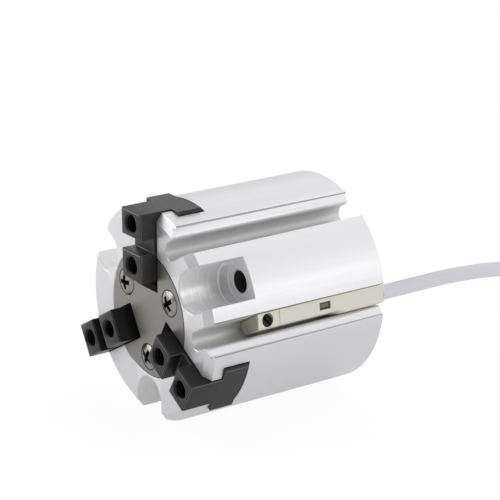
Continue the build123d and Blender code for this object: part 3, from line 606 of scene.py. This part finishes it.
class GRIPPER_OT_body(bpy.types.Operator):
    """Finish the body as clear anodised extruded aluminium."""
    bl_idname = "gripper.body"
    bl_label = "Body"

    def execute(self, context):
        finish = context.scene.gripper_finish
        mouths = [circle_point(MOUNT_CIRCLE, angle) for angle in POCKET_ANGLES]

        def catches_light(middle, along):
            """Steps and hole mouths in the pockets, and the long edges of the grooves."""
            shallow, deep = POCKET_STEP_DEPTHS
            gap = min(math.hypot(middle.x - x, middle.z - z) for x, z in mouths)
            if gap < POCKET_STEP_REACH and shallow < middle.y + BODY_LENGTH < deep:
                return True
            return abs(along.y) > 0.95 * along.length and along.length > LONG_EDGE

        def body_material(middle, normal, chamfer):
            """Milled in the pockets with painted highlights on their chamfers, rougher with painted shade in
            the grooves, painted shade on the ledges' outer chamfers, otherwise as drawn.
            """
            if middle.y + BODY_LENGTH < POCKET_DEPTH + 2 * NEAR:
                for angle in POCKET_ANGLES:
                    out, across = sector_place(middle, angle)
                    if out > POCKET_INNER_END and abs(across) < POCKET_WIDTH / 2 + NEAR:
                        # painted highlight on the pockets' chamfers
                        return CUT_HIGHLIGHT if chamfer else MILLED
            if math.hypot(middle.x, middle.z) > LEDGE_RIM_RADIUS:
                # painted shade on the ledges' outer chamfers
                return LEDGE_SHADE if chamfer else DRAWN
            out, across = sector_place(middle, SWITCH_SECTOR)
            in_groove = out > GROOVE_FLOOR and abs(abs(across) - GROOVE_ACROSS) < GROOVE_WIDTH / 2 + NEAR
            # painted shade on the rougher walls inside the grooves
            return ROUGH_AND_SHADED if in_groove and abs(normal.y) < 0.5 else DRAWN

        # satin bar, whose sheen runs in soft bands along it
        drawn = anodised_extrusion(finish.body, finish.bore_shade)
        # painted shade: the outer chamfers of the ledges are painted a darker grey line, where the little
        # step walls lie in shade
        painted_ledge_shade = mottled_finish("anodised_aluminium_die_line", finish.ledge_edge_shade, 0.4, 0.5, 0.8, 0.1, 0.05)
        # cutters leave the pockets brighter and glossier than the drawn bar
        milled = milled_pockets(finish.milled)
        # the grooves' walls are rougher and a more neutral grey than the bar, and painted a little darker as
        # the shade they lie in
        rough_shaded_groove = mottled_finish("anodised_aluminium_groove", finish.groove, 0.5, 0.5, 0.6, 0.06, 0.05)
        # painted highlight: the chamfered edges of the steps in the pockets are painted the brightest
        cut_edge_highlight = mottled_finish("anodised_aluminium_cut_edge", finish.cut_edge_highlight, 0.1, 0.3, 0.7, 0.03, 0.04)
        finished_copy(
            "body", "gripper_body", "housing",
            [drawn, painted_ledge_shade, milled, cut_edge_highlight, rough_shaded_groove], body_material, BODY_CHAMFER, catches_light,
        )
        return {"FINISHED"}


class GRIPPER_OT_front_plate(bpy.types.Operator):
    """Finish the front plate and its screws."""
    bl_idname = "gripper.front_plate"
    bl_label = "Front plate and screws"

    def execute(self, context):
        finish = context.scene.gripper_finish
        # ground stainless steel: warm grey, satin, with a fine even grain
        steel = mottled_finish("stainless_steel_ground", finish.plate, 0.8, 0.4, 0.6, 0.08, 0.06)
        # painted shade: a dark ring round each head stands for the shadowed gap of its countersink
        tree = steel.node_tree
        shader = tree.nodes["Principled BSDF"]
        place = add_node(tree, "ShaderNodeTexCoord")
        apart = add_node(tree, "ShaderNodeSeparateXYZ", {"Vector": place.outputs["Object"]})
        flat = add_node(tree, "ShaderNodeCombineXYZ", {"X": apart.outputs["X"], "Y": apart.outputs["Z"]})
        nearest = gap_to_axes(tree, flat.outputs["Vector"], SCREW_CIRCLE, POCKET_ANGLES)
        rim = add_node(
            tree, "ShaderNodeMath",
            {0: nearest, 1: (SCREW_HEAD_RADIUS + SCREW_HEAD_RIM) * MM}, operation="LESS_THAN",
        )
        ground = shader.inputs["Base Color"].links[0].from_socket
        tint = add_node(
            tree, "ShaderNodeMix",
            {"Factor": rim.outputs[0], "A": ground, "B": finish.recess}, data_type="RGBA",
        )
        tree.links.new(tint.outputs["Result"], shader.inputs["Base Color"])
        set_finish(["front_plate"], steel)
        # nickel plate: grey and glossy, so the raised heads glint round their dark crosses
        nickel = mottled_finish("nickel_plated_steel", finish.screw, 1.0, 0.24, 0.8, 0.06, 0.05)
        # the same plate deep in the crosses and under the heads, where it looks black
        recess = mottled_finish("nickel_recess_in_shade", finish.recess, 0.3, 0.5, 0.8, 0.1, 0.05)
        finished_copy(
            "front_plate_screws", "plate_screws", "housing", [nickel, recess],
            lambda middle, normal, chamfer: int(chamfer or middle.y > -BODY_LENGTH),
            CROSS_CHAMFER, lambda middle, along: middle.y < SCREW_FACE_Y,
        )
        return {"FINISHED"}


class GRIPPER_OT_jaws(bpy.types.Operator):
    """Finish the three jaws as blackened hard steel."""
    bl_idname = "gripper.jaws"
    bl_label = "Jaws"

    def execute(self, context):
        finish = context.scene.gripper_finish
        # black oxide on ground steel: dark, with a dull metal sheen
        black = mottled_finish("black_oxide_steel_ground", finish.jaw, 0.6, 0.36, 0.9, 0.15, 0.06)
        # the same steel where handling has worn its edges a little brighter, and brighter again as painted
        # glints
        rubbed_and_glint = mottled_finish("black_oxide_steel_rubbed", finish.jaw_edge, 0.7, 0.35, 0.9, 0.15, 0.06)
        # tapped holes: painted dark as the shade inside them, with the threads' ridges
        tapped = threaded_finish("black_oxide_steel_tapped", finish.recess, JAW_THREAD_PITCH)
        for side, angle in JAW_ANGLES.items():
            holes = [circle_point(radius, angle) for radius in JAW_HOLE_RADII]

            def jaw_material(middle, normal, chamfer):
                """Painted shade in the tapped holes and their countersinks; worn chamfers brightened further
                as painted glints.
                """
                gap = min(math.hypot(middle.x - x, middle.z - z) for x, z in holes)
                if gap < JAW_THREAD_RADIUS + JAW_COUNTERSINK and normal.y > -0.95:
                    # painted shade in the holes and their countersinks
                    return TAPPED_SHADE
                # worn chamfers with painted glints
                return RUBBED_AND_GLINT if chamfer else BLACK

            finished_copy(
                "jaw_" + side, side + "_base_jaw", side + "_jaw", [black, rubbed_and_glint, tapped],
                jaw_material, JAW_CHAMFER, lambda middle, along: along.length > JAW_EDGE,
            )
        return {"FINISHED"}


class GRIPPER_OT_drive(bpy.types.Operator):
    """Finish the cam, the piston and what runs with them."""
    bl_idname = "gripper.drive"
    bl_label = "Cam and piston"

    def execute(self, context):
        finish = context.scene.gripper_finish
        # hardened steel, ground all over: cool grey with a clear sheen
        steel = mottled_finish("hardened_steel_ground", finish.inner_steel, 1.0, 0.3, 0.5, 0.08, 0.05)
        set_finish(["wedge_cam", "piston_bolt"], steel)
        # turned aluminium: paler and softer in its sheen than the steel
        turned = mottled_finish("aluminium_turned", finish.piston, 0.9, 0.35, 0.5, 0.06, 0.05)
        set_finish(["piston", "piston_retainer", "rear_cap"], turned)
        # bonded ferrite: dull charcoal
        ferrite = mottled_finish("ferrite_bonded", finish.magnet, 0.1, 0.6, 0.4, 0.2, 0.1)
        set_finish(["piston_magnet"], ferrite)
        # moulded rubber: near black and matt
        rubber = mottled_finish("nitrile_rubber_moulded", finish.rubber, 0.0, 0.6, 0.5, 0.15, 0.08)
        set_finish(["piston_seal", "rod_seal", "cap_seal", "front_bumper", "rear_bumper"], rubber)
        # phosphated spring steel: dark grey with a dull sheen
        spring = mottled_finish("spring_steel_phosphated", finish.spring_steel, 0.5, 0.5, 0.4, 0.15, 0.08)
        set_finish(["retaining_ring"], spring)
        return {"FINISHED"}


class GRIPPER_OT_switch(bpy.types.Operator):
    """Finish the piston switch, its clamp, set screw and window."""
    bl_idname = "gripper.switch"
    bl_label = "Switch"

    def execute(self, context):
        finish = context.scene.gripper_finish
        # glass filled nylon, moulded: matt beige with a fine grain
        nylon = mottled_finish("nylon_glass_filled_moulded", finish.switch, 0.0, 0.5, 0.4, 0.05, 0.06, 0.004)
        set_finish(["switch_body"], nylon)
        # the same nylon on the clamp's front end, painted darker and more olive as the shade it lies in
        nose = mottled_finish("nylon_glass_filled_nose", finish.nose, 0.0, 0.5, 0.4, 0.05, 0.06)
        finished_copy(
            "switch_clamp", "switch_clamp_block", "housing", [nylon, nose],
            # faces turned to the front get the painted shade
            lambda middle, normal, chamfer: int(normal.y < -0.3),
        )
        # black oxide: nearly black, with a dull glint
        oxide = mottled_finish("black_oxide_set_screw", finish.recess, 0.5, 0.5, 0.5, 0.15, 0.05)
        set_finish(["switch_screw"], oxide)
        # clear acrylic that has clouded, in a rim painted dark as the shade on the walls of its recess
        clouded = mottled_finish("acrylic_clouded", finish.window, 0.0, 0.2, 1.0, 0.15, 0.04)
        painted_shade_rim = mottled_finish("acrylic_rim_in_shade", finish.window_rim_shade, 0.0, 0.4, 1.0, 0.1, 0.05)
        mesh, build = copy_form("switch_window", "indicator_window")
        bmesh.ops.dissolve_limit(
            build, angle_limit=math.radians(1), verts=build.verts, edges=build.edges,
            use_dissolve_boundaries=False,
        )
        panes = sorted(build.faces, key=lambda face: -face.calc_area())[:2]
        # painted shade on every face but the middles of the two panes
        for face in build.faces:
            face.material_index = 1
        for pane in panes:
            bmesh.ops.inset_region(build, faces=[pane], thickness=WINDOW_SHADE_RIM * MM, depth=0)
            pane.material_index = 0
        stand_for("switch_window", mesh, build, "housing", [clouded, painted_shade_rim])
        return {"FINISHED"}


def area_lamp(name, power, size, place, target):
    """A square soft lamp that points at a target."""
    data = bpy.data.lights.new(name, "AREA")
    data.energy = power
    data.size = size
    lamp = new_object(name, data)
    lamp.location = place
    lamp.rotation_euler = (Vector(target) - Vector(place)).to_track_quat("-Z", "Y").to_euler()


def light_table(colour, glow):
    """Matt paper on a light table: white to the eye but for the gripper's own soft shadow."""
    material, tree, shader = start_finish("paper_sweep", colour, 0.0, 0.9)
    white = add_node(tree, "ShaderNodeEmission", {"Color": WHITE, "Strength": FLOOR_WHITE})
    rays = add_node(tree, "ShaderNodeLightPath")
    share = add_node(
        tree, "ShaderNodeMapRange",
        {"Value": rays.outputs["Is Camera Ray"], "To Min": glow, "To Max": FLOOR_SEEN_SHARE},
    )
    mix = add_node(
        tree, "ShaderNodeMixShader",
        {"Fac": share.outputs["Result"], 1: shader.outputs["BSDF"], 2: white.outputs["Emission"]},
    )
    tree.links.new(mix.outputs[0], tree.nodes["Material Output"].inputs["Surface"])
    return material


def even_sky(strength):
    """A white sky of one strength, seen as plain white by the camera and through clear pieces."""
    world = bpy.data.worlds.new("sky")
    world.use_nodes = True
    tree = world.node_tree
    sky = tree.nodes["Background"]
    sky.inputs["Color"].default_value = WHITE
    rays = add_node(tree, "ShaderNodeLightPath")
    seen = add_node(
        tree, "ShaderNodeMath",
        {0: rays.outputs["Is Camera Ray"], 1: rays.outputs["Is Transmission Ray"]}, operation="MAXIMUM",
    )
    level = add_node(
        tree, "ShaderNodeMapRange", {"Value": seen.outputs[0], "To Min": strength, "To Max": 1.0}
    )
    tree.links.new(level.outputs["Result"], sky.inputs["Strength"])
    return world


class GRIPPER_OT_studio(bpy.types.Operator):
    """Add the pale floor, the sky and the soft lamps."""
    bl_idname = "gripper.studio"
    bl_label = "Studio"

    def execute(self, context):
        studio = context.scene.gripper_studio
        mesh = bpy.data.meshes.new("floor")
        build = bmesh.new()
        bmesh.ops.create_grid(build, x_segments=1, y_segments=1, size=FLOOR_HALF)
        bmesh.ops.translate(build, verts=build.verts, vec=(0, 0, FLOOR_Z * MM))
        build.to_mesh(mesh)
        build.free()
        mesh.materials.append(light_table(studio.floor, studio.glow))
        new_object("floor", mesh)
        context.scene.world = even_sky(studio.world)
        for name, (size, place) in LAMPS.items():
            area_lamp(name + "_lamp", getattr(studio, name), size, place, LAMP_TARGET)
        context.scene.view_settings.view_transform = "Standard"
        return {"FINISHED"}


class GRIPPER_PT_looks(bpy.types.Panel):
    """The gripper's looks in the 3D view's sidebar."""
    bl_label = "Gripper"
    bl_idname = "GRIPPER_PT_looks"
    bl_space_type = "VIEW_3D"
    bl_region_type = "UI"
    bl_category = "Gripper"

    def draw(self, context):
        layout = self.layout
        for group in ("gripper_finish", "gripper_lead", "gripper_studio"):
            box = layout.box()
            for name in getattr(context.scene, group).__annotations__:
                box.prop(getattr(context.scene, group), name)
        for operator in OPERATORS:
            layout.operator(operator.bl_idname)


GROUPS = (GripperFinish, GripperLead, GripperStudio)
OPERATORS = (
    GRIPPER_OT_camera,
    GRIPPER_OT_lead,
    GRIPPER_OT_body,
    GRIPPER_OT_front_plate,
    GRIPPER_OT_jaws,
    GRIPPER_OT_drive,
    GRIPPER_OT_switch,
    GRIPPER_OT_studio,
)


def register():
    """Register the add-on's classes and its three groups of settings."""
    for cls in (*GROUPS, *OPERATORS, GRIPPER_PT_looks):
        bpy.utils.register_class(cls)
    bpy.types.Scene.gripper_finish = PointerProperty(type=GripperFinish)
    bpy.types.Scene.gripper_lead = PointerProperty(type=GripperLead)
    bpy.types.Scene.gripper_studio = PointerProperty(type=GripperStudio)


def unregister():
    """Take the settings and the classes away again."""
    del bpy.types.Scene.gripper_studio
    del bpy.types.Scene.gripper_lead
    del bpy.types.Scene.gripper_finish
    for cls in reversed((*GROUPS, *OPERATORS, GRIPPER_PT_looks)):
        bpy.utils.unregister_class(cls)


def main():
    """Build every piece in order."""
    register()
    bpy.ops.gripper.camera()
    bpy.ops.gripper.lead()
    bpy.ops.gripper.body()
    bpy.ops.gripper.front_plate()
    bpy.ops.gripper.jaws()
    bpy.ops.gripper.drive()
    bpy.ops.gripper.switch()
    bpy.ops.gripper.studio()


if __name__ == "__main__":
    main()
